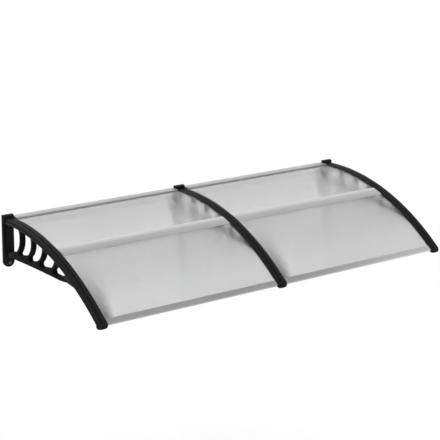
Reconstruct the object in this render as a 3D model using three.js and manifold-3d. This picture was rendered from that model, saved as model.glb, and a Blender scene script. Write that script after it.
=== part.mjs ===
// Two-bay canopy for a door or a window, in millimetres. Three moulded wall brackets carry curved arms.
// Four bent twin-wall sheets lie on the arms under curved cover strips. Aluminium bars run along the wall,
// between the upper and lower sheets, and along the front edge.
// The origin is on the wall, behind the centre of the middle bracket's plate. X runs along the wall, -Y
// points out from the wall and Z is up.

import * as THREE from "three";
import { mergeVertices } from "three/addons/utils/BufferGeometryUtils.js";
import Module from "manifold-3d";

const wasm = await Module();
wasm.setup();

// Layout along the wall
const BRACKET_SPACING = 970;
const SIDE_GAP = 0.5; // between a bar's cut end and the bracket beside it
const SEAT_GAP = 0.3; // between pieces that rest on each other

// Wall plate and head of a bracket
const PLATE_HEIGHT = 260;
const PLATE_WIDTH = 57;
const PLATE_THICKNESS = 16;
const PLATE_EDGE = 2;
const HEAD_WIDTH = 55;
const HEAD_DEPTH = 23;
const HEAD_HEIGHT = 36;
const HEAD_EDGE = 3;
const HEAD_CORNER = 6;

// Roof curve: arms, sheets, covers and bars follow circles about one axis along X
const ROOF_RADIUS = 1282; // outer face of the cover strips
const CROWN_OUT = 138; // the roof's highest line, out from the wall
const CROWN_DROP = 9.5; // the same line, below the top of the plate
const ROOF_LENGTH = 948.5; // along the roof, from the wall to the axis of the noses
const ROOF_STEPS = 24;

// Cover strip, measured down from its outer face where a size is a depth
const COVER_WIDTH = 49.5;
const COVER_DEPTH = 4;
const COVER_SKIN = 2.2;
const COVER_LIP = 2.4;
const COVER_EDGE = 1.3;
const COVER_EDGE_STEPS = 2;
const COVER_GROOVE_WIDTH = 5;
const COVER_GROOVE_FLOOR = 3.2; // width of the groove's floor
const COVER_GROOVE_DEPTH = 1.3;

// Nose: the rounded front end of a cover strip, widest and thickest at its axis along X
const NOSE_WIDTH = 55;
const NOSE_RADIUS = 11.5;
const NOSE_REACH = 16; // from its axis to its front
const NOSE_STEP = 1; // the nose's top above the strip's outer face
const NOSE_FULLNESS = 2.6; // power of its rounding: 2 is an ellipse, more is squarer
const NOSE_ROWS = 10;
const NOSE_SIDES = 20;
const NECK_DEPTH = 18; // underside of the block between the arm's end and the nose

// Twin-wall sheets
const SHEET_THICKNESS = 5;
const SHEET_SKIN = 0.6;
const SHEET_RIB = 0.5;
const CELL_PITCH = 9;
const SHEET_REAR = 27; // along the roof from the wall
const SHEET_SETBACK = 12.5; // from the sheets' front edge to the axis of the noses
const JOINT_TRAVEL = 473; // the joint between the sheets, along the roof from the wall
const JOINT_WEB = 2;
const TONGUE_WIDTH = 10;
const SHEET_SIDE_GAP = 3; // from the tongue to a sheet's edge, for thermal growth

// Arm: its depth shrinks evenly from the wall to the tip
const ARM_WIDTH = 46;
const ARM_DEPTH_WALL = 24;
const ARM_DEPTH_TIP = 12;

// Truss under the arm: a post on the plate, a lower chord and four curved ribs. Points are given as
// [out from the wall, below the plate's top].
const TRUSS_WIDTH = 25;
const POST_DEPTH = 17;
const CHORD_ROOT = [PLATE_THICKNESS, 205];
const CHORD_SAG = [265, 178];
const CHORD_KNEE = [539, 164];
const KNEE_CORNER = [583, 158];
const KNEE_END = [602, 154];
const CHORD_TIP_TRAVEL = 747; // the tip, along the roof from the wall
const CHORD_TIP_INSET = 3; // the tip, above the arm's underside
const CHORD_TOP_ROOT = [PLATE_THICKNESS + POST_DEPTH, 177];
const LAST_FOOT = [519, 151];
const LAST_OPENING_TIP = [614, 120];
const CORNER_ROUNDING = 10;

// The four ribs, from the wall to the tip. Each lies between two circles, with a corner ahead of its foot.
const RIB_CENTRES = [[60, 80], [185, 70], [280, 55], [415, 70]];
const RIB_RADII = [92, 81, 94, 74];
const RIB_WIDTHS = [14, 11, 13, 12.5];
const RIB_CORNERS = [[134, 165], [237, 164], [345, 157], [471, 152]];
const RIB_FOOT_ANGLES = [-69, -81, -67, -70]; // degrees above the level
const RIB_TOP_ANGLE = 50;
const RIB_STEPS = 12;

// Rear bar: a flat chamber on the sheet, with a lip under the sheet
const REAR_BAR_FRONT = 46;
const REAR_BAR_BACK = 4.2;
const REAR_BAR_RISE = 6.6; // top of the bar above the sheet, at its front face
const BAR_WALL = 1.4;
const BAR_LIP_DEPTH = 1.6;

// Joining bar between the sheets, and front bar
const JOINING_BAR_HALF = 36;
const JOINING_BAR_RISE = 2.6;
const JOINING_BAR_BEVEL = 7;
const JOINING_GROOVE_WIDTH = 3;
const JOINING_GROOVE_DEPTH = 1.1;
const LOWER_FLANGE_HALF = 16;
const FRONT_BAR_GRIP = 16; // how far it reaches over the sheets
const FRONT_BAR_REACH = 14.5; // from the sheets' front edge to its front face
const FRONT_BAR_RISE = 2;
const FRONT_BAR_DROP = 1.9; // below the sheet
const FRONT_STOP = 1.5; // from the sheet's edge to the inner wall

// Rubber seal between the rear bar and the wall
const SEAL_HEIGHT = 13;
const SEAL_TOP_DROP = 11; // below the plate's top
const SEAL_LIP = 1.2;

// Wall bolts and washers
const BOLT_DROPS = { upper: 53, lower: 237 };
const BOLT_RADIUS = 4;
const BOLT_HOLE_RADIUS = 4.5;
const BOLT_HEAD_FLATS = 13;
const BOLT_HEAD_HEIGHT = 5.3;
const WASHER_RADIUS = 8;
const WASHER_THICKNESS = 1.6;
const RECESS_RADIUS = 9;

// Screws that hold a cover strip to its arm, driven from below
const REAR_SCREW_TRAVELS = [92, 338, 580];
const LAST_SCREW_AHEAD = 73; // from the chord's tip to the last screw
const SCREW_RADIUS = 1.9;
const SCREW_HOLE_RADIUS = 2.3;
const SCREW_HEAD_RADIUS = 4;
const SCREW_HEAD_HEIGHT = 2.6;
const SCREW_CROWN_RADIUS = 2.8; // flat end of the head
const SCREW_CROWN_HEIGHT = 1.5; // from the flat end to the head's full radius
const SCREW_TIP_COVER = 2.4; // plastic left over the screw's tip

// Derived places
const PLATE_TOP = PLATE_HEIGHT / 2;
const AXIS_UP = PLATE_TOP - CROWN_DROP - ROOF_RADIUS;
const WALL_ANGLE = -Math.asin(CROWN_OUT / ROOF_RADIUS);
const SHEET_TOP = COVER_DEPTH;
const SHEET_BOTTOM = SHEET_TOP + SHEET_THICKNESS;
const ARM_TOP = SHEET_BOTTOM + SEAT_GAP;
const ARM_TRAVEL = ROOF_LENGTH - NOSE_RADIUS - SEAT_GAP;
const NOSE_AXIS_DEPTH = NOSE_RADIUS - NOSE_STEP;
const COVER_START = HEAD_DEPTH + SEAT_GAP;
const SHEET_FRONT = ROOF_LENGTH - SHEET_SETBACK;
const SCREW_TRAVELS = [...REAR_SCREW_TRAVELS, CHORD_TIP_TRAVEL + LAST_SCREW_AHEAD];
const BAR_BOTTOM = SHEET_TOP - SEAT_GAP;
const FLANGE_TOP = SHEET_BOTTOM + SEAT_GAP;
const FULL_TURN = 2 * Math.PI;

// Facets of round faces, and how far a cut runs past the face that it opens
const ROUND_SIDES = 16;
const SCREW_SIDES = 10;
const HEX_SIDES = 6;
const PLATE_ROUND_STEPS = 9;
const PLATE_EDGE_STEPS = 2;
const CURVE_STEPS = 6;
const OVERRUN = 1;
const MERGE_DISTANCE = 1e-3;

// Materials
const BLACK_PLASTIC = { color: 0x1e1e20, roughness: 0.5, metalness: 0 };
const SHEET_CLEAR = { color: 0xdfe1e4, roughness: 0.35, metalness: 0, transparent: true, opacity: 0.75 };
const ALUMINIUM = { color: 0xb4b5b7, roughness: 0.4, metalness: 0.9 };
const RUBBER = { color: 0x19191a, roughness: 0.85, metalness: 0 };
const ZINC_STEEL = { color: 0xa9abad, roughness: 0.35, metalness: 0.95 };

// A closed geometry as a solid that can be joined and cut.
function toSolid(geometry) {
  const bare = new THREE.BufferGeometry();
  const loose = geometry.index ? geometry.toNonIndexed() : geometry;
  bare.setAttribute("position", loose.getAttribute("position"));
  const merged = mergeVertices(bare, MERGE_DISTANCE);
  const corners = merged.index.array;
  const kept = [];
  for (let i = 0; i < corners.length; i += 3) {
    const [a, b, c] = [corners[i], corners[i + 1], corners[i + 2]];
    if (a !== b && b !== c && c !== a) kept.push(a, b, c);
  }
  const vertProperties = new Float32Array(merged.getAttribute("position").array);
  const triVerts = new Uint32Array(kept);
  return new wasm.Manifold(new wasm.Mesh({ numProp: 3, vertProperties, triVerts }));
}

// A finished solid as a named mesh.
function toMesh(name, solid, finish) {
  const result = solid.getMesh();
  const positions = new Float32Array(result.numVert * 3);
  for (let i = 0; i < result.numVert; i++) {
    const start = i * result.numProp;
    positions.set(result.vertProperties.subarray(start, start + 3), i * 3);
  }
  const geometry = new THREE.BufferGeometry();
  geometry.setAttribute("position", new THREE.BufferAttribute(positions, 3));
  geometry.setIndex(new THREE.BufferAttribute(result.triVerts, 1));
  geometry.computeVertexNormals();
  const mesh = new THREE.Mesh(geometry, new THREE.MeshStandardMaterial(finish));
  mesh.name = name;
  return mesh;
}

// A point of the side view, given as distance out from the wall and drop below the plate's top.
function sidePoint([out, drop]) {
  return new THREE.Vector2(out, PLATE_TOP - drop);
}

// A point of the side view, given as travel along the roof's outer face and depth below it.
function roofPoint(travel, depth) {
  const angle = WALL_ANGLE + travel / ROOF_RADIUS;
  const radius = ROOF_RADIUS - depth;
  return new THREE.Vector2(CROWN_OUT + radius * Math.sin(angle), AXIS_UP + radius * Math.cos(angle));
}

// Points along the roof between two travels, at a depth that may change on the way.
function roofRun(from, to, depthAt, steps) {
  const points = [];
  for (let i = 0; i <= steps; i++) {
    const travel = from + ((to - from) * i) / steps;
    points.push(roofPoint(travel, depthAt(travel)));
  }
  return points;
}

function armUnderside(travel) {
  return ARM_DEPTH_WALL + ((ARM_DEPTH_TIP - ARM_DEPTH_WALL) * travel) / ARM_TRAVEL;
}

// A side-view outline pushed along the wall, from one X to another.
function alongWall(shape, fromX, toX) {
  const geometry = new THREE.ExtrudeGeometry(shape, {
    depth: toX - fromX,
    bevelEnabled: false,
    curveSegments: CURVE_STEPS,
  });
  const stand = new THREE.Matrix4().set(0, 0, -1, toX, -1, 0, 0, 0, 0, 1, 0, 0, 0, 0, 0, 1);
  return toSolid(geometry.applyMatrix4(stand));
}

function centred(shape, width) {
  return alongWall(shape, -width / 2, width / 2);
}

// A front-view outline pushed out from the wall, its front edge rounded and its back flat on the wall.
function outFromWall(shape, thickness, edge) {
  const geometry = new THREE.ExtrudeGeometry(shape, {
    depth: thickness,
    bevelThickness: edge,
    bevelSize: edge,
    bevelOffset: -edge,
    bevelSegments: PLATE_EDGE_STEPS,
    curveSegments: PLATE_ROUND_STEPS,
  });
  geometry.translate(0, 0, -edge);
  geometry.rotateX(Math.PI / 2);
  const behind = new THREE.BoxGeometry(2 * PLATE_WIDTH, 4 * edge, 3 * PLATE_HEIGHT);
  behind.translate(0, 2 * edge, 0);
  return toSolid(geometry).subtract(toSolid(behind));
}

// A round bar or hole that points out from the wall, at a drop below the plate's top.
function roundOut(radius, fromOut, toOut, drop, sides) {
  const geometry = new THREE.CylinderGeometry(radius, radius, toOut - fromOut, sides);
  geometry.translate(0, -(fromOut + toOut) / 2, PLATE_TOP - drop);
  return toSolid(geometry);
}

function plate() {
  const half = PLATE_WIDTH / 2;
  const shape = new THREE.Shape();
  shape.moveTo(-half, PLATE_TOP);
  shape.lineTo(-half, half - PLATE_TOP);
  shape.absarc(0, half - PLATE_TOP, half, Math.PI, FULL_TURN, false);
  shape.lineTo(half, PLATE_TOP);
  return outFromWall(shape, PLATE_THICKNESS, PLATE_EDGE);
}

function head() {
  const half = HEAD_WIDTH / 2;
  const bottom = PLATE_TOP - HEAD_HEIGHT;
  const shape = new THREE.Shape();
  shape.moveTo(-half, bottom);
  shape.lineTo(half, bottom);
  shape.lineTo(half, PLATE_TOP - HEAD_CORNER);
  shape.absarc(half - HEAD_CORNER, PLATE_TOP - HEAD_CORNER, HEAD_CORNER, 0, Math.PI / 2, false);
  shape.lineTo(HEAD_CORNER - half, PLATE_TOP);
  shape.absarc(HEAD_CORNER - half, PLATE_TOP - HEAD_CORNER, HEAD_CORNER, Math.PI / 2, Math.PI, false);
  return outFromWall(shape, HEAD_DEPTH, HEAD_EDGE);
}

function arm() {
  const from = PLATE_THICKNESS / 2;
  const top = roofRun(from, ARM_TRAVEL, () => ARM_TOP, ROOF_STEPS);
  const underside = roofRun(from, ARM_TRAVEL, armUnderside, ROOF_STEPS).reverse();
  const body = centred(new THREE.Shape([...top, ...underside]), ARM_WIDTH);
  const tongueTop = roofRun(from, ARM_TRAVEL, () => SHEET_TOP, ROOF_STEPS);
  const tongueRoot = roofRun(from, ARM_TRAVEL, () => ARM_TOP + SEAT_GAP, ROOF_STEPS).reverse();
  return body.add(centred(new THREE.Shape([...tongueTop, ...tongueRoot]), TONGUE_WIDTH));
}

// A point of a rib's circle, at a radius and an angle about its centre.
function ribPoint(rib, radius, angle) {
  const turned = new THREE.Vector2(radius * Math.cos(angle), radius * Math.sin(angle));
  return turned.add(sidePoint(RIB_CENTRES[rib]));
}

// A rib of the truss: a band between two circles, down to its foot on the chord.
function ribBand(rib) {
  const from = THREE.MathUtils.degToRad(RIB_TOP_ANGLE);
  const to = THREE.MathUtils.degToRad(RIB_FOOT_ANGLES[rib]);
  const [inner, outer] = [RIB_RADII[rib], RIB_RADII[rib] + RIB_WIDTHS[rib]].map((radius) => {
    const run = [];
    for (let i = 0; i <= RIB_STEPS; i++) {
      run.push(ribPoint(rib, radius, from + ((to - from) * i) / RIB_STEPS));
    }
    return run;
  });
  return new THREE.Shape([...inner, ...outer.reverse()]);
}

// The point of a rib's front side at a distance out from the wall.
function ribFront(rib, out) {
  const centre = sidePoint(RIB_CENTRES[rib]);
  const radius = RIB_RADII[rib] + RIB_WIDTHS[rib];
  return new THREE.Vector2(out, centre.y - Math.sqrt(radius ** 2 - (out - centre.x) ** 2));
}

// The lower chord: its top rises to each rib's foot, and the corner in front of each rib is rounded.
function chordOutline() {
  const shape = new THREE.Shape();
  const [root, sag, knee, kneeCorner, kneeEnd] = [
    CHORD_ROOT,
    CHORD_SAG,
    CHORD_KNEE,
    KNEE_CORNER,
    KNEE_END,
  ].map(sidePoint);
  shape.moveTo(root.x, root.y);
  shape.quadraticCurveTo(sag.x, sag.y, knee.x, knee.y);
  shape.quadraticCurveTo(kneeCorner.x, kneeCorner.y, kneeEnd.x, kneeEnd.y);
  const tip = roofPoint(CHORD_TIP_TRAVEL, armUnderside(CHORD_TIP_TRAVEL) - CHORD_TIP_INSET);
  shape.lineTo(tip.x, tip.y);
  const openingTip = sidePoint(LAST_OPENING_TIP);
  shape.lineTo(tip.x, Math.max(tip.y, openingTip.y));
  shape.lineTo(openingTip.x, openingTip.y);
  const lastFoot = sidePoint(LAST_FOOT);
  shape.lineTo(lastFoot.x, lastFoot.y);
  for (let rib = RIB_CENTRES.length - 1; rib >= 0; rib--) {
    const corner = sidePoint(RIB_CORNERS[rib]);
    const front = ribFront(rib, corner.x);
    const foot = ribPoint(rib, RIB_RADII[rib], THREE.MathUtils.degToRad(RIB_FOOT_ANGLES[rib]));
    shape.lineTo(corner.x + CORNER_ROUNDING, corner.y);
    shape.quadraticCurveTo(corner.x, corner.y, front.x, front.y);
    shape.lineTo(foot.x, foot.y);
  }
  const topRoot = sidePoint(CHORD_TOP_ROOT);
  shape.lineTo(topRoot.x, topRoot.y);
  shape.lineTo(root.x, topRoot.y);
  return shape;
}

function truss() {
  const middle = (travel) => (ARM_TOP + armUnderside(travel)) / 2;
  const roof = roofRun(0, ARM_TRAVEL, middle, ROOF_STEPS);
  const floor = PLATE_TOP - CHORD_ROOT[1];
  const span = new THREE.Shape([
    ...roof,
    new THREE.Vector2(roof.at(-1).x, -PLATE_HEIGHT),
    new THREE.Vector2(PLATE_THICKNESS / 2, -PLATE_HEIGHT),
  ]);
  const post = new THREE.Shape([
    new THREE.Vector2(PLATE_THICKNESS / 2, floor),
    new THREE.Vector2(PLATE_THICKNESS + POST_DEPTH, floor),
    new THREE.Vector2(PLATE_THICKNESS + POST_DEPTH, PLATE_TOP),
    new THREE.Vector2(PLATE_THICKNESS / 2, PLATE_TOP),
  ]);
  let web = centred(post, TRUSS_WIDTH).add(centred(chordOutline(), TRUSS_WIDTH));
  for (let rib = 0; rib < RIB_CENTRES.length; rib++) web = web.add(centred(ribBand(rib), TRUSS_WIDTH));
  return web.intersect(centred(span, 2 * TRUSS_WIDTH));
}

// Turns a piece that stands along Y to the roof's normal, and sets its foot at a travel and depth.
function onRoofNormal(geometry, travel, depth) {
  const angle = WALL_ANGLE + travel / ROOF_RADIUS;
  const place = roofPoint(travel, depth);
  geometry.rotateX(angle + Math.PI / 2);
  return geometry.translate(0, -place.x, place.y);
}

function screwHole(travel) {
  const deep = armUnderside(travel) + SCREW_HEAD_HEIGHT;
  const length = deep - (SCREW_TIP_COVER - SEAT_GAP);
  const geometry = new THREE.CylinderGeometry(SCREW_HOLE_RADIUS, SCREW_HOLE_RADIUS, length, SCREW_SIDES);
  geometry.translate(0, length / 2, 0);
  return toSolid(onRoofNormal(geometry, travel, deep));
}

function bracket() {
  let body = plate().add(head()).add(arm()).add(truss());
  const front = PLATE_THICKNESS + POST_DEPTH;
  for (const drop of Object.values(BOLT_DROPS)) {
    body = body.subtract(roundOut(BOLT_HOLE_RADIUS, -OVERRUN, front, drop, ROUND_SIDES));
  }
  const recess = roundOut(RECESS_RADIUS, PLATE_THICKNESS, front + OVERRUN, BOLT_DROPS.upper, ROUND_SIDES);
  body = body.subtract(recess);
  for (const travel of SCREW_TRAVELS) body = body.subtract(screwHole(travel));
  return body;
}

// The circle of the roof's outer face, as the path that a cover strip is swept along.
class RoofArc extends THREE.Curve {
  constructor(from, to) {
    super();
    this.from = from;
    this.to = to;
  }
  getPoint(t, target = new THREE.Vector3()) {
    const point = roofPoint(this.from + (this.to - this.from) * t, 0);
    return target.set(0, -point.x, point.y);
  }
}

// Half the section of a cover strip, as [across, deep], from the middle of its top to the middle below.
function coverHalf() {
  const half = COVER_WIDTH / 2;
  const rib = TONGUE_WIDTH / 2;
  const under = COVER_DEPTH - SEAT_GAP;
  const edge = [];
  for (let i = 0; i <= COVER_EDGE_STEPS; i++) {
    const angle = (Math.PI / 2) * (i / COVER_EDGE_STEPS);
    edge.push([half - COVER_EDGE * (1 - Math.sin(angle)), COVER_EDGE * (1 - Math.cos(angle))]);
  }
  return [
    [COVER_GROOVE_FLOOR / 2, COVER_GROOVE_DEPTH],
    [COVER_GROOVE_WIDTH / 2, 0],
    ...edge,
    [half, under],
    [half - COVER_LIP, under],
    [half - COVER_LIP, COVER_SKIN],
    [rib, COVER_SKIN],
    [rib, under],
  ];
}

// The rounded nose at the front end of a cover strip, with the block that joins it to the arm's width.
function nose() {
  const power = 2 / NOSE_FULLNESS;
  const profile = [];
  for (let i = 0; i <= NOSE_ROWS; i++) {
    const angle = Math.PI * (i / NOSE_ROWS - 1 / 2);
    const across = (Math.sign(angle) * Math.abs(Math.sin(angle)) ** power * NOSE_WIDTH) / 2;
    const radius = i % NOSE_ROWS === 0 ? 0 : NOSE_RADIUS * Math.cos(angle) ** power;
    profile.push(new THREE.Vector2(radius, across));
  }
  const geometry = new THREE.LatheGeometry(profile, NOSE_SIDES);
  geometry.rotateZ(-Math.PI / 2);
  const position = geometry.getAttribute("position");
  for (let i = 0; i < position.count; i++) {
    const out = -position.getY(i);
    if (out > 0) position.setY(i, (-out * NOSE_REACH) / NOSE_RADIUS);
  }
  const neckTop = NOSE_AXIS_DEPTH - COVER_SKIN;
  const neckBottom = NOSE_AXIS_DEPTH - NECK_DEPTH;
  const neck = new THREE.BoxGeometry(ARM_WIDTH, NOSE_RADIUS, neckTop - neckBottom);
  neck.translate(0, NOSE_RADIUS / 2, (neckTop + neckBottom) / 2);
  return toSolid(atNose(geometry)).add(toSolid(atNose(neck)));
}

// Tilts a piece that lies level at the origin to the roof's slope at the nose, and sets it on the nose's axis.
function atNose(geometry) {
  const place = roofPoint(ROOF_LENGTH, NOSE_AXIS_DEPTH);
  geometry.rotateX(WALL_ANGLE + ROOF_LENGTH / ROOF_RADIUS);
  return geometry.translate(0, -place.x, place.y);
}

function coverStrip() {
  const half = coverHalf();
  const mirrored = half.map(([across, deep]) => [-across, deep]).reverse();
  const outline = [...half, ...mirrored].map(([across, deep]) => new THREE.Vector2(across, deep));
  const strip = new THREE.ExtrudeGeometry(new THREE.Shape(outline), {
    steps: ROOF_STEPS,
    extrudePath: new RoofArc(COVER_START, ROOF_LENGTH),
  });
  let body = toSolid(strip).add(nose());
  for (const travel of SCREW_TRAVELS) body = body.subtract(screwHole(travel));
  return body;
}

// A bent twin-wall sheet between two travels. Its cells run along the wall.
function sheet(from, to) {
  const cells = Math.round((to - from) / CELL_PITCH);
  const pitch = (to - from) / cells;
  const shape = new THREE.Shape([
    ...roofRun(from, to, () => SHEET_TOP, cells),
    ...roofRun(from, to, () => SHEET_BOTTOM, cells).reverse(),
  ]);
  for (let i = 0; i < cells; i++) {
    const rear = from + i * pitch + SHEET_RIB / 2;
    const front = from + (i + 1) * pitch - SHEET_RIB / 2;
    const [high, low] = [SHEET_TOP + SHEET_SKIN, SHEET_BOTTOM - SHEET_SKIN];
    const cell = [
      [rear, high],
      [rear, low],
      [front, low],
      [front, high],
    ];
    shape.holes.push(new THREE.Path(cell.map(([travel, depth]) => roofPoint(travel, depth))));
  }
  return centred(shape, BRACKET_SPACING - TONGUE_WIDTH - 2 * SHEET_SIDE_GAP);
}

function rearBar() {
  const [crownOut, crownUp] = roofPoint(REAR_BAR_FRONT, SHEET_TOP - REAR_BAR_RISE).toArray();
  const [underBack, underFront] = [REAR_BAR_BACK, REAR_BAR_FRONT].map((out) => roofPoint(out, BAR_BOTTOM));
  const lipFront = roofPoint(REAR_BAR_FRONT, FLANGE_TOP);
  const lipBack = roofPoint(REAR_BAR_BACK, FLANGE_TOP);
  const webFront = REAR_BAR_BACK + BAR_WALL;
  const inner = roofPoint(webFront, BAR_BOTTOM);
  const shape = new THREE.Shape([
    new THREE.Vector2(REAR_BAR_BACK, crownUp),
    new THREE.Vector2(crownOut - BAR_WALL, crownUp),
    new THREE.Vector2(crownOut, crownUp - BAR_WALL),
    underFront,
    new THREE.Vector2(webFront, inner.y),
    new THREE.Vector2(webFront, lipBack.y),
    lipFront,
    new THREE.Vector2(lipFront.x, lipFront.y - BAR_LIP_DEPTH),
    new THREE.Vector2(REAR_BAR_BACK, lipBack.y - BAR_LIP_DEPTH),
  ]);
  const chamber = [
    new THREE.Vector2(webFront, crownUp - BAR_WALL),
    new THREE.Vector2(webFront, underBack.y + BAR_WALL),
    new THREE.Vector2(crownOut - BAR_WALL, underFront.y + BAR_WALL),
    new THREE.Vector2(crownOut - BAR_WALL, crownUp - BAR_WALL),
  ];
  shape.holes.push(new THREE.Path(chamber));
  return centred(shape, BRACKET_SPACING - Math.max(PLATE_WIDTH, HEAD_WIDTH) - 2 * SIDE_GAP);
}

// An outline given as [travel, depth] pairs, as a bar that fills a bay between two cover strips.
function roofBar(outline, chambers) {
  const toPoint = ([travel, depth]) => roofPoint(travel, depth);
  const shape = new THREE.Shape(outline.map(toPoint));
  for (const chamber of chambers) shape.holes.push(new THREE.Path(chamber.map(toPoint)));
  return centred(shape, BRACKET_SPACING - Math.max(COVER_WIDTH, NOSE_WIDTH) - 2 * SIDE_GAP);
}

function joiningBar() {
  const top = SHEET_TOP - JOINING_BAR_RISE;
  const [rear, front] = [JOINT_TRAVEL - JOINING_BAR_HALF, JOINT_TRAVEL + JOINING_BAR_HALF];
  const [webRear, webFront] = [JOINT_TRAVEL - JOINT_WEB / 2, JOINT_TRAVEL + JOINT_WEB / 2];
  const [lipRear, lipFront] = [JOINT_TRAVEL - LOWER_FLANGE_HALF, JOINT_TRAVEL + LOWER_FLANGE_HALF];
  const lowest = FLANGE_TOP + BAR_LIP_DEPTH;
  return roofBar(
    [
      [rear, BAR_BOTTOM],
      [rear + JOINING_BAR_BEVEL, top],
      [JOINT_TRAVEL - JOINING_GROOVE_WIDTH / 2, top],
      [JOINT_TRAVEL, top + JOINING_GROOVE_DEPTH],
      [JOINT_TRAVEL + JOINING_GROOVE_WIDTH / 2, top],
      [front - JOINING_BAR_RISE, top],
      [front, BAR_BOTTOM - JOINING_GROOVE_DEPTH],
      [front, BAR_BOTTOM],
      [webFront, BAR_BOTTOM],
      [webFront, FLANGE_TOP],
      [lipFront, FLANGE_TOP],
      [lipFront, lowest],
      [lipRear, lowest],
      [lipRear, FLANGE_TOP],
      [webRear, FLANGE_TOP],
      [webRear, BAR_BOTTOM],
    ],
    [],
  );
}

function frontBar() {
  const top = SHEET_TOP - FRONT_BAR_RISE;
  const stop = SHEET_FRONT + FRONT_STOP;
  const back = SHEET_FRONT - FRONT_BAR_GRIP;
  const front = SHEET_FRONT + FRONT_BAR_REACH;
  const lowest = FLANGE_TOP + FRONT_BAR_DROP;
  const chamber = [
    [stop + BAR_WALL, top + BAR_WALL],
    [stop + BAR_WALL, lowest - BAR_WALL],
    [front - BAR_WALL, lowest - BAR_WALL],
    [front - BAR_WALL, top + BAR_WALL],
  ];
  return roofBar(
    [
      [back, BAR_BOTTOM],
      [back + BAR_WALL, top],
      [front - BAR_WALL, top],
      [front, top + BAR_WALL],
      [front, lowest],
      [back, lowest],
      [back, FLANGE_TOP],
      [stop, FLANGE_TOP],
      [stop, BAR_BOTTOM],
    ],
    [chamber],
  );
}

// Rubber strip: a flat back on the wall side and two soft lips towards the bar.
function rearSeal() {
  const top = PLATE_TOP - SEAL_TOP_DROP;
  const bottom = top - SEAL_HEIGHT;
  const front = REAR_BAR_BACK - SEAT_GAP;
  const shape = new THREE.Shape([
    new THREE.Vector2(0, bottom),
    new THREE.Vector2(front, bottom),
    new THREE.Vector2(front, bottom + SEAL_LIP),
    new THREE.Vector2(SEAL_LIP, (top + bottom) / 2 - SEAL_LIP / 2),
    new THREE.Vector2(SEAL_LIP, (top + bottom) / 2 + SEAL_LIP / 2),
    new THREE.Vector2(front, top - SEAL_LIP),
    new THREE.Vector2(front, top),
    new THREE.Vector2(0, top),
  ]);
  return centred(shape, BRACKET_SPACING - PLATE_WIDTH - 2 * SIDE_GAP);
}

function washer(drop) {
  const back = PLATE_THICKNESS + SEAT_GAP;
  const front = back + WASHER_THICKNESS;
  const ring = roundOut(WASHER_RADIUS, back, front, drop, ROUND_SIDES);
  return ring.subtract(roundOut(BOLT_HOLE_RADIUS, back - OVERRUN, front + OVERRUN, drop, ROUND_SIDES));
}

function wallBolt(drop) {
  const seat = PLATE_THICKNESS + 2 * SEAT_GAP + WASHER_THICKNESS;
  const corner = BOLT_HEAD_FLATS / Math.sqrt(3);
  const hex = roundOut(corner, seat, seat + BOLT_HEAD_HEIGHT, drop, HEX_SIDES);
  return hex.add(roundOut(BOLT_RADIUS, SEAT_GAP, seat + OVERRUN, drop, ROUND_SIDES));
}

function coverScrew(travel) {
  const seat = SCREW_HEAD_HEIGHT;
  const length = armUnderside(travel) + SEAT_GAP - SCREW_TIP_COVER;
  const profile = [
    [0, 0],
    [SCREW_CROWN_RADIUS, 0],
    [SCREW_HEAD_RADIUS, SCREW_CROWN_HEIGHT],
    [SCREW_HEAD_RADIUS, seat],
    [SCREW_RADIUS, seat],
    [SCREW_RADIUS, seat + length - SCREW_RADIUS],
    [0, seat + length],
  ].map(([radius, height]) => new THREE.Vector2(radius, height));
  const geometry = new THREE.LatheGeometry(profile, SCREW_SIDES);
  return toSolid(onRoofNormal(geometry, travel, armUnderside(travel) + SEAT_GAP + SCREW_HEAD_HEIGHT));
}

// Assembly
const canopy = new THREE.Group();

function place(parent, name, solid, finish) {
  parent.add(toMesh(name, solid, finish));
}

const brackets = { left: -BRACKET_SPACING, middle: 0, right: BRACKET_SPACING };
for (const [side, x] of Object.entries(brackets)) {
  const support = new THREE.Group();
  support.position.x = x;
  place(support, `bracket_${side}`, bracket(), BLACK_PLASTIC);
  place(support, `cover_strip_${side}`, coverStrip(), BLACK_PLASTIC);
  for (const [level, drop] of Object.entries(BOLT_DROPS)) {
    place(support, `washer_${side}_${level}`, washer(drop), ZINC_STEEL);
    place(support, `wall_bolt_${side}_${level}`, wallBolt(drop), ZINC_STEEL);
  }
  SCREW_TRAVELS.forEach((travel, i) => {
    place(support, `cover_screw_${side}_${i + 1}`, coverScrew(travel), ZINC_STEEL);
  });
  canopy.add(support);
}

const bays = { left: -BRACKET_SPACING / 2, right: BRACKET_SPACING / 2 };
for (const [side, x] of Object.entries(bays)) {
  const bay = new THREE.Group();
  bay.position.x = x;
  const halfJoint = JOINT_WEB / 2 + SEAT_GAP;
  place(bay, `upper_sheet_${side}`, sheet(SHEET_REAR, JOINT_TRAVEL - halfJoint), SHEET_CLEAR);
  place(bay, `lower_sheet_${side}`, sheet(JOINT_TRAVEL + halfJoint, SHEET_FRONT), SHEET_CLEAR);
  place(bay, `rear_bar_${side}`, rearBar(), ALUMINIUM);
  place(bay, `joining_bar_${side}`, joiningBar(), ALUMINIUM);
  place(bay, `front_bar_${side}`, frontBar(), ALUMINIUM);
  place(bay, `rear_seal_${side}`, rearSeal(), RUBBER);
  canopy.add(bay);
}

export default canopy;
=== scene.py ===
"""Finishes, light and camera for a two-bay canopy: black moulded brackets and cover strips, clear
twin-wall sheets, aluminium bars, rubber seals and zinc-plated fasteners. Lengths are in metres. The
frame's origin is on the wall behind the middle bracket, X runs along the wall, -Y points out from it
and Z is up."""

import math

import bpy
from mathutils import Matrix, Vector

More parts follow.
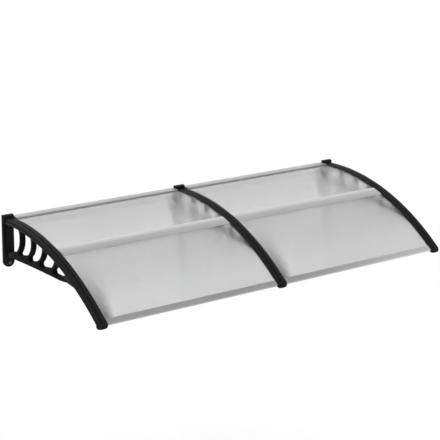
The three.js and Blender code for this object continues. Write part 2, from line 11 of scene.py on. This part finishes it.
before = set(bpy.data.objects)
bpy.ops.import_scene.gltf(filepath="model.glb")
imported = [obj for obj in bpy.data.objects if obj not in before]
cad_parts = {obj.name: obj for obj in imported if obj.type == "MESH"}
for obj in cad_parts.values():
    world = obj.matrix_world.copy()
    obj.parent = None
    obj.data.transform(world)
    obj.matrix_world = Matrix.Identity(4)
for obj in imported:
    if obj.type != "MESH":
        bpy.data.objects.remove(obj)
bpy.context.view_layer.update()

# The roof's circle, through the outer faces of the cover strips
ROOF_RADIUS = 1.282
CROWN_OUT = 0.138
CROWN_HEIGHT = 0.1205
ROOF_AXIS_HEIGHT = CROWN_HEIGHT - ROOF_RADIUS

# The arc from the wall to the roof's highest line, to a tenth of a millimetre
CROWN_TRAVEL = round(ROOF_RADIUS * math.asin(CROWN_OUT / ROOF_RADIUS), 4)

# From one arm's middle to the next
BRACKET_SPACING = 0.97

# Stretches along the roof, from the wall
REAR_BAR_TOP = (0.010, 0.045)
REAR_STRIP = (0.05, 0.14)
PAST_REAR_BAR = (0.20, 0.21)
JOINING_BAR_TOP = (0.436, 0.470)
PAST_JOINT = (0.46, 0.50)
JOINT_SHADE = (0.52, 0.64)
PAST_JOINING_BAR = (0.70, 0.71)
ARM_SHADE_REACH = (0.50, 0.92)
ARM_SHADE_DEPTH = (0.45, 0.95)
# Where the painted shade on the lower sheets deepens once more, before the front bar
FRONT_SHADE = (0.84, 0.93)

# Depths under the roof's outer face
GROOVE_TOP = (0.0002, 0.0006)
GROOVE_FLOOR = (0.0016, 0.0020)
REAR_BAR_LOWER_LIP = (0.006, 0.008)
TRUSS_TOP = (0.045, 0.055)

# Across a strip's groove from its middle, along Y before the wall plates, and along X on the front bars
GROOVE_SIDE = (0.0024, 0.0032)
PLATE_FRONT = (-0.09, -0.06)
FRONT_BAR_SHEEN = (0.1, 0.9)

# How far the sheets' cells tilt what is seen through them, as a share of the surface's normal
UPPER_TILT = 0.85
LOWER_TILT_MORE = 0.5

# What the way along the roof is multiplied by where it seeds that tilt
TILT_SEED_SCALE = 1000.0

# The camera
CAMERA_PLACE = Vector((-3.7327, -5.6455, 2.0965))
CAMERA_AZIMUTH = math.radians(-35.32)
CAMERA_FALL = math.radians(17.64)
CAMERA_ROLL = math.radians(1.25)
CAMERA_LENS = 112.51
CAMERA_FILM = 36.0
CAMERA_SIGHT = 200.0

# The studio
FLOOR_HEIGHT = -2.2
FLOOR_HALF = 60.0
FLOOR_GLOW = 0.36
FLOOR_FADE = (1.3, 2.3)
SKY_STRENGTH = 0.62
SKY_SHOWN = 1.0
SKY_OVERHEAD = 0.45
SKY_RISE = (0.4, 0.95)
LAMP_SIZE = 5.0
LAMP_DISTANCE = 6.0
LAMP_DIRECTION = Vector((-0.45, -0.35, 1.0))
LAMP_POWER = 130.0

# Edges of the solids
SHARP_ANGLE = math.radians(28)
JOIN_DISTANCE = 1e-5
PLASTIC_EDGE = 0.0008
BAR_EDGE = 0.0003
STEEL_EDGE = 0.0002
EDGE_SEGMENTS = 2


def grey(level, blue=1.0):
    """A grey, with its blue a little stronger or weaker."""
    return (level, level, level * blue, 1.0)


def socket_of(sockets, key):
    """A node's socket by its place in the list, or by its name among those in use."""
    if isinstance(key, int):
        return sockets[key]
    return next(s for s in sockets if s.enabled and key in (s.name, s.identifier))


class Level:
    """A value that varies over a surface. Arithmetic on it adds Math nodes."""

    def __init__(self, nodes, socket):
        self.nodes = nodes
        self.socket = socket

    def __add__(self, other):
        return self.nodes.math("ADD", self, other)

    def __radd__(self, other):
        return self.nodes.math("ADD", other, self)

    def __sub__(self, other):
        return self.nodes.math("SUBTRACT", self, other)

    def __rsub__(self, other):
        return self.nodes.math("SUBTRACT", other, self)

    def __mul__(self, other):
        return self.nodes.math("MULTIPLY", self, other)

    def __rmul__(self, other):
        return self.nodes.math("MULTIPLY", other, self)

    def __pow__(self, other):
        return self.nodes.math("POWER", self, other)

    def __rpow__(self, other):
        return self.nodes.math("POWER", other, self)

    def __mod__(self, other):
        return self.nodes.math("FLOORED_MODULO", self, other)

    def __rmod__(self, other):
        return self.nodes.math("FLOORED_MODULO", other, self)

    def __neg__(self):
        return self * -1.0

    def __abs__(self):
        return self.nodes.math("ABSOLUTE", self)


class Nodes:
    """A node tree that is filled in step by step."""

    def __init__(self, tree):
        self.tree = tree
        self.tree.nodes.clear()

    def node(self, kind, settings=None, sockets=None, out=0):
        """Adds a node, sets it and feeds its sockets. Gives the output that out names, or a list of
        outputs where out is a tuple."""
        made = self.tree.nodes.new(kind)
        for name, value in (settings or {}).items():
            setattr(made, name, value)
        for key, value in (sockets or {}).items():
            target = socket_of(made.inputs, key)
            if isinstance(value, Level):
                self.tree.links.new(value.socket, target)
            else:
                target.default_value = value
        if isinstance(out, tuple):
            return [Level(self, socket_of(made.outputs, key)) for key in out]
        return Level(self, socket_of(made.outputs, out))

    def math(self, operation, *values):
        return self.node("ShaderNodeMath", {"operation": operation}, dict(enumerate(values)))

    def vector(self, operation, *values):
        vectors = dict(enumerate(values))
        return self.node("ShaderNodeVectorMath", {"operation": operation}, vectors, "Vector")

    def mix(self, share, first, second):
        """A colour between two colours."""
        colours = {"Factor": share, "A": first, "B": second}
        return self.node("ShaderNodeMix", {"data_type": "RGBA"}, colours, "Result")

    def between(self, share, first, second):
        """A level between two levels."""
        levels = {"Factor": share, "A": first, "B": second}
        return self.node("ShaderNodeMix", {"data_type": "FLOAT"}, levels, "Result")

    def carry(self, level, stretch, values, way="LINEAR"):
        """Carries the two ends of a stretch over to two values, which hold beyond the ends."""
        low, high = stretch
        at_low, at_high = values
        ends = {"Value": level, "From Min": low, "From Max": high, "To Min": at_low, "To Max": at_high}
        return self.node("ShaderNodeMapRange", {"clamp": True, "interpolation_type": way}, ends)

    def rise(self, level, stretch):
        """0 before a stretch and 1 after it."""
        return self.carry(level, stretch, (0.0, 1.0))

    def fall(self, level, stretch):
        """1 before a stretch and 0 after it."""
        return self.carry(level, stretch, (1.0, 0.0))

    def apart(self, vector):
        """The X, Y and Z of a vector."""
        return self.node("ShaderNodeSeparateXYZ", {}, {0: vector}, (0, 1, 2))

    def blend(self, share, first, second):
        """A shader between two shaders."""
        return self.node("ShaderNodeMixShader", {}, {0: share, 1: first, 2: second})

    def close(self, kind, shader):
        """Ends the tree with its output."""
        self.node(kind, {}, {0: shader}, ())

    def seen(self):
        """1 on rays from the camera, in a gloss or through a sheet, and 0 on the rays that light things."""
        rays = ("Is Camera Ray", "Is Glossy Ray", "Is Transmission Ray")
        camera_ray, glossy_ray, through_ray = self.node("ShaderNodeLightPath", out=rays)
        return self.math("MAXIMUM", self.math("MAXIMUM", camera_ray, glossy_ray), through_ray)


class Finish(Nodes):
    """A material of the canopy, worked out from the place on the solid."""

    def __init__(self, name):
        self.material = bpy.data.materials.new(name)
        self.material.use_nodes = True
        super().__init__(self.material.node_tree)
        self.place = self.node("ShaderNodeTexCoord", out="Object")

    def noise(self, scale, detail=2.0, roughness=0.5, stretch=None):
        """A cloud of values about 0.5, with its grains 1 / scale metres apart."""
        where = self.vector("MULTIPLY", self.place, stretch) if stretch else self.place
        grains = {"Vector": where, "Scale": scale, "Detail": detail, "Roughness": roughness}
        return self.node("ShaderNodeTexNoise", {}, grains)

    def bump(self, height, distance, strength):
        relief = {"Height": height, "Distance": distance, "Strength": strength}
        return self.node("ShaderNodeBump", {}, relief, "Normal")

    def surface(self, **sockets):
        """Closes the material with a Principled shader. Underscores stand for spaces in socket names."""
        named = {name.replace("_", " "): value for name, value in sockets.items()}
        self.close("ShaderNodeOutputMaterial", self.node("ShaderNodeBsdfPrincipled", {}, named))
        return self.material


def from_axis(y, z):
    """How far a place is out from the roof's axis, and up from it."""
    return -y - CROWN_OUT, z - ROOF_AXIS_HEIGHT


def under_roof(out, up):
    """How far a place is under the roof's outer face."""
    return ROOF_RADIUS - (out * out + up * up) ** 0.5


def along_roof(angle):
    """The way along the roof from the wall, from the angle about its axis."""
    return angle * ROOF_RADIUS + CROWN_TRAVEL


def moulded_plastic():
    """Satin black plastic with the fine grain of its mould and faint flow marks. The groove along each
    cover strip is dull, with painted shade in it, and the trusses are duller, with painted shade under the
    roof."""
    finish = Finish("moulded_plastic")
    x, y, z = finish.apart(finish.place)
    depth = under_roof(*from_axis(y, z))
    across = (x + BRACKET_SPACING * 1.5) % BRACKET_SPACING - BRACKET_SPACING / 2
    groove = finish.rise(depth, GROOVE_TOP) * finish.fall(depth, GROOVE_FLOOR)
    groove = groove * finish.fall(abs(across), GROOVE_SIDE)
    truss = finish.rise(depth, TRUSS_TOP) * finish.fall(y, PLATE_FRONT)
    flow = finish.noise(9.0, 3.0)
    grain = finish.noise(1400.0)
    marks = finish.rise(flow, (0.3, 0.7)) * (1.0 - groove)
    colour = finish.mix(marks, grey(0.0042, 1.1), grey(0.009, 1.08))
    # Painted shade: the groove along each cover strip is coloured near-black
    colour = finish.mix(groove, colour, grey(0.0008))
    # Painted shade: the trusses under the roof, in front of the wall plates, are coloured darker
    colour = finish.mix(truss, colour, grey(0.002, 1.1))
    satin = finish.carry(flow, (0.25, 0.75), (0.52, 0.62))
    return finish.surface(
        Base_Color=colour,
        Roughness=satin + (grain - 0.5) * 0.06 + groove * 0.4 + truss * 0.25,
        Specular_IOR_Level=0.14,
        Normal=finish.bump(grain + flow * 0.6, 0.00004, 0.5),
    )


def cell_haze(finish, angle, travel, lower):
    """The sheet's normal, tilted at random along the slope, as its cells' ribs spread what is behind it
    along the slope and hardly across. It tilts less next to the rear bar, and more in the lower sheets."""
    seed = {"W": travel * TILT_SEED_SCALE}
    spread = finish.node("ShaderNodeTexWhiteNoise", {"noise_dimensions": "1D"}, seed)
    tilt = (spread - 0.5) * (lower * LOWER_TILT_MORE + UPPER_TILT)
    tilt = tilt * finish.carry(travel, REAR_STRIP, (0.25, 1.0))
    downhill = {"X": 0.0, "Y": -finish.math("COSINE", angle), "Z": -finish.math("SINE", angle)}
    slope = finish.node("ShaderNodeCombineXYZ", {}, downhill)
    lean = finish.node("ShaderNodeVectorMath", {"operation": "SCALE"}, {0: slope, "Scale": tilt})
    square = finish.node("ShaderNodeNewGeometry", out="Normal")
    return finish.vector("NORMALIZE", finish.vector("ADD", square, lean))


def sheet_plastic():
    """Clear twin-wall sheet. The lower sheets carry a faint painted shade that deepens towards the front,
    and a painted shadow to the right of each arm that grows narrow and deep towards the front."""
    finish = Finish("twin_wall_sheet")
    x, y, z = finish.apart(finish.place)
    angle = finish.math("ARCTAN2", *from_axis(y, z))
    travel = along_roof(angle)
    lower = finish.rise(travel, PAST_JOINT)
    # Painted shadow to the right of each arm, narrow and deep towards the front
    beside = (x + BRACKET_SPACING) % BRACKET_SPACING
    reach = finish.carry(travel, ARM_SHADE_REACH, (0.22, 0.085))
    shade = finish.carry(beside, (0.02, reach), (1.0, 0.0), "SMOOTHSTEP")
    shade = shade * finish.rise(travel, ARM_SHADE_DEPTH) ** 2.0
    # Painted shade over the lower sheets, deepening past the joint and again towards the front
    clear = 1.0 - lower * finish.carry(travel, JOINT_SHADE, (0.045, 0.066))
    clear = clear - finish.carry(travel, FRONT_SHADE, (0.0, 0.03))
    cloud = 0.998 + (finish.noise(2.2) - 0.5) * 0.05
    return finish.surface(
        Base_Color=finish.mix(clear * (1.0 - shade * 0.6) * cloud, grey(0.0), grey(1.0, 1.004)),
        Roughness=0.09,
        IOR=1.2,
        Transmission_Weight=0.965,
        Normal=cell_haze(finish, angle, travel, lower),
    )


def mill_aluminium():
    """Extruded aluminium with fine die lines along the bars, which take the light each in their own way.
    Each bar's
    colour holds painted light and shade: a painted highlight along the rear edge of the rear and joining
    bars' tops, painted light on the rear bar's lower lip, and a painted sheen that grows along X on the
    front bars.
    """
    finish = Finish("mill_aluminium")
    x, y, z = finish.apart(finish.place)
    out, up = from_axis(y, z)
    travel = along_roof(finish.math("ARCTAN2", out, up))
    lines = finish.noise(1.0, 3.0, 0.6, stretch=(2.5, 1500.0, 1500.0))
    draw = finish.noise(1.0, 1.0, stretch=(0.8, 130.0, 130.0))
    cloud = finish.noise(7.0)
    # Painted highlight at the rear edge of the rear bar's top, fading to painted shade towards its front
    rear = finish.carry(travel, REAR_BAR_TOP, (0.64, 0.44))
    # Painted light: the rear bar's lower lip, under the sheet, is coloured almost white
    rear = finish.between(finish.rise(under_roof(out, up), REAR_BAR_LOWER_LIP), rear, 0.97)
    # Painted highlight at the rear edge of the joining bar's top, fading towards its front
    joining = finish.carry(travel, JOINING_BAR_TOP, (0.86, 0.66))
    # Painted sheen: the front bars grow lighter along X
    front = finish.carry(x, FRONT_BAR_SHEEN, (0.49, 0.74))
    level = finish.between(finish.rise(travel, PAST_REAR_BAR), rear, joining)
    level = finish.between(finish.rise(travel, PAST_JOINING_BAR), level, front)
    level = level * (0.94 + (lines - 0.5) * 0.16 + (draw - 0.5) * 0.16)
    return finish.surface(
        Base_Color=finish.mix(level, grey(0.0), grey(1.0, 1.01)),
        Metallic=0.9,
        Roughness=finish.carry(cloud, (0.3, 0.7), (0.3, 0.42)) + (lines - 0.5) * 0.1,
        Normal=finish.bump(lines, 0.00005, 0.5),
    )


def seal_rubber():
    """Dull black rubber with a dusty, uneven face."""
    finish = Finish("seal_rubber")
    dust = finish.noise(60.0, 4.0)
    return finish.surface(
        Base_Color=finish.mix(finish.rise(dust, (0.4, 0.8)), grey(0.012), grey(0.03)),
        Roughness=finish.carry(dust, (0.3, 0.7), (0.7, 0.9)),
        Specular_IOR_Level=0.3,
        Normal=finish.bump(finish.noise(700.0), 0.00006, 0.6),
    )


def zinc_steel():
    """Zinc-plated steel, dulled, with a faint spangle."""
    finish = Finish("zinc_steel")
    spangle = finish.noise(420.0, 3.0)
    dark = (0.05, 0.05, 0.055, 1.0)
    bright = (0.12, 0.12, 0.125, 1.0)
    return finish.surface(
        Base_Color=finish.mix(finish.rise(spangle, (0.3, 0.7)), dark, bright),
        Metallic=1.0,
        Roughness=finish.carry(spangle, (0.3, 0.7), (0.24, 0.4)),
        Normal=finish.bump(spangle, 0.00003, 0.5),
    )


def smoothing():
    """Joins the corners that the solids' facets share and shades across the soft edges between them."""
    group = bpy.data.node_groups.new("smoothing", "GeometryNodeTree")
    for way in ("INPUT", "OUTPUT"):
        group.interface.new_socket("Geometry", in_out=way, socket_type="NodeSocketGeometry")
    nodes = Nodes(group)
    solid = nodes.node("NodeGroupInput")
    bare = nodes.node("GeometryNodeRemoveAttribute", {}, {"Geometry": solid, "Name": "custom_normal"})
    joined = nodes.node("GeometryNodeMergeByDistance", {}, {"Geometry": bare, "Distance": JOIN_DISTANCE})
    round_faces = {"Geometry": joined, "Shade Smooth": True}
    soft = nodes.node("GeometryNodeSetShadeSmooth", {"domain": "FACE"}, round_faces)
    turn = nodes.node("GeometryNodeInputMeshEdgeAngle", out="Unsigned Angle")
    over = {"A": turn, "B": SHARP_ANGLE}
    sharp = nodes.node("FunctionNodeCompare", {"operation": "GREATER_THAN"}, over, "Result")
    hard_edges = {"Geometry": soft, "Selection": sharp, "Shade Smooth": False}
    nodes.close("NodeGroupOutput", nodes.node("GeometryNodeSetShadeSmooth", {"domain": "EDGE"}, hard_edges))
    return group


def dress(starts, material, edge=0.0):
    """Gives the nodes whose names start so their finish, smooth curves and slightly rounded edges."""
    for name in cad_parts:
        if not name.startswith(starts):
            continue
        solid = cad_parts[name]
        solid.data.materials.clear()
        solid.data.materials.append(material)
        smooth = solid.modifiers.new("smoothing", "NODES")
        smooth.node_group = SMOOTHING
        if edge:
            rounding = solid.modifiers.new("edges", "BEVEL")
            rounding.width = edge
            rounding.segments = EDGE_SEGMENTS
            rounding.limit_method = "ANGLE"
            rounding.angle_limit = SHARP_ANGLE
            rounding.harden_normals = False


def place(name, data):
    """Puts a new object into the scene."""
    made = bpy.data.objects.new(name, data)
    bpy.context.scene.collection.objects.link(made)
    return made


def camera():
    """The camera, from its azimuth, its fall below the level and its roll."""
    sideways = -math.sin(CAMERA_AZIMUTH) * math.cos(CAMERA_FALL)
    ahead = math.cos(CAMERA_AZIMUTH) * math.cos(CAMERA_FALL)
    forward = Vector((sideways, ahead, -math.sin(CAMERA_FALL)))
    level = Vector((math.cos(CAMERA_AZIMUTH), math.sin(CAMERA_AZIMUTH), 0.0))
    upright = level.cross(forward)
    right = math.cos(CAMERA_ROLL) * level + math.sin(CAMERA_ROLL) * upright
    up = math.cos(CAMERA_ROLL) * upright - math.sin(CAMERA_ROLL) * level
    data = bpy.data.cameras.new("camera")
    data.lens = CAMERA_LENS
    data.sensor_width = CAMERA_FILM
    data.clip_end = CAMERA_SIGHT
    made = place("camera", data)
    turned = Matrix((right, up, -forward)).transposed().to_4x4()
    made.matrix_world = Matrix.Translation(CAMERA_PLACE) @ turned
    bpy.context.scene.camera = made


def sky():
    """Plain white to look at, and a softer, even light to stand in. A gloss sees it dimmer overhead."""
    world = bpy.data.worlds.new("sky")
    world.use_nodes = True
    bpy.context.scene.world = world
    nodes = Nodes(world.node_tree)
    light, shown, dim = (
        nodes.node("ShaderNodeBackground", {}, {"Color": grey(1.0), "Strength": strength})
        for strength in (SKY_STRENGTH, SKY_SHOWN, SKY_OVERHEAD)
    )
    direction = nodes.node("ShaderNodeTexCoord", out="Generated")
    height = nodes.apart(direction)[2]
    overhead = nodes.rise(height, SKY_RISE) * nodes.node("ShaderNodeLightPath", out="Is Glossy Ray")
    shown = nodes.blend(overhead, shown, dim)
    nodes.close("ShaderNodeOutputWorld", nodes.blend(nodes.seen(), light, shown))


def lamp():
    """One broad soft lamp, high above the canopy, to the left and towards its front."""
    data = bpy.data.lights.new("lamp", "AREA")
    data.shape = "DISK"
    data.size = LAMP_SIZE
    data.energy = LAMP_POWER
    made = place("lamp", data)
    direction = LAMP_DIRECTION.normalized()
    made.location = direction * LAMP_DISTANCE
    made.rotation_mode = "QUATERNION"
    made.rotation_quaternion = direction.to_track_quat("Z", "Y")


def floor():
    """The pale floor, as far below as under a canopy over a door. It holds the canopy's shadow, and is
    plain white to look at away from it."""
    finish = Finish("floor")
    pale = finish.node("ShaderNodeBsdfDiffuse", {}, {"Color": grey(0.82)})
    glow = finish.node("ShaderNodeEmission", {}, {"Color": grey(1.0), "Strength": FLOOR_GLOW})
    shadowed = finish.node("ShaderNodeAddShader", {}, {0: pale, 1: glow})
    white = finish.node("ShaderNodeEmission", {}, {"Color": grey(1.0), "Strength": 1.0})
    x, y = finish.apart(finish.place)[:2]
    away = (x * x + y * y) ** 0.5
    shown = finish.blend(finish.rise(away, FLOOR_FADE), shadowed, white)
    finish.close("ShaderNodeOutputMaterial", finish.blend(finish.seen(), pale, shown))
    mesh = bpy.data.meshes.new("floor")
    quarters = ((-1, -1), (1, -1), (1, 1), (-1, 1))
    corners = [(across * FLOOR_HALF, along * FLOOR_HALF, FLOOR_HEIGHT) for across, along in quarters]
    mesh.from_pydata(corners, [], [(0, 1, 2, 3)])
    mesh.materials.append(finish.material)
    made = place("floor", mesh)


SMOOTHING = smoothing()
dress(("bracket", "cover_strip"), moulded_plastic(), PLASTIC_EDGE)
dress(("upper_sheet", "lower_sheet"), sheet_plastic())
dress(("rear_bar", "joining_bar", "front_bar"), mill_aluminium(), BAR_EDGE)
dress(("rear_seal",), seal_rubber())
dress(("washer", "wall_bolt", "cover_screw"), zinc_steel(), STEEL_EDGE)
floor()
sky()
lamp()
camera()
bpy.context.scene.view_settings.view_transform = "Standard"
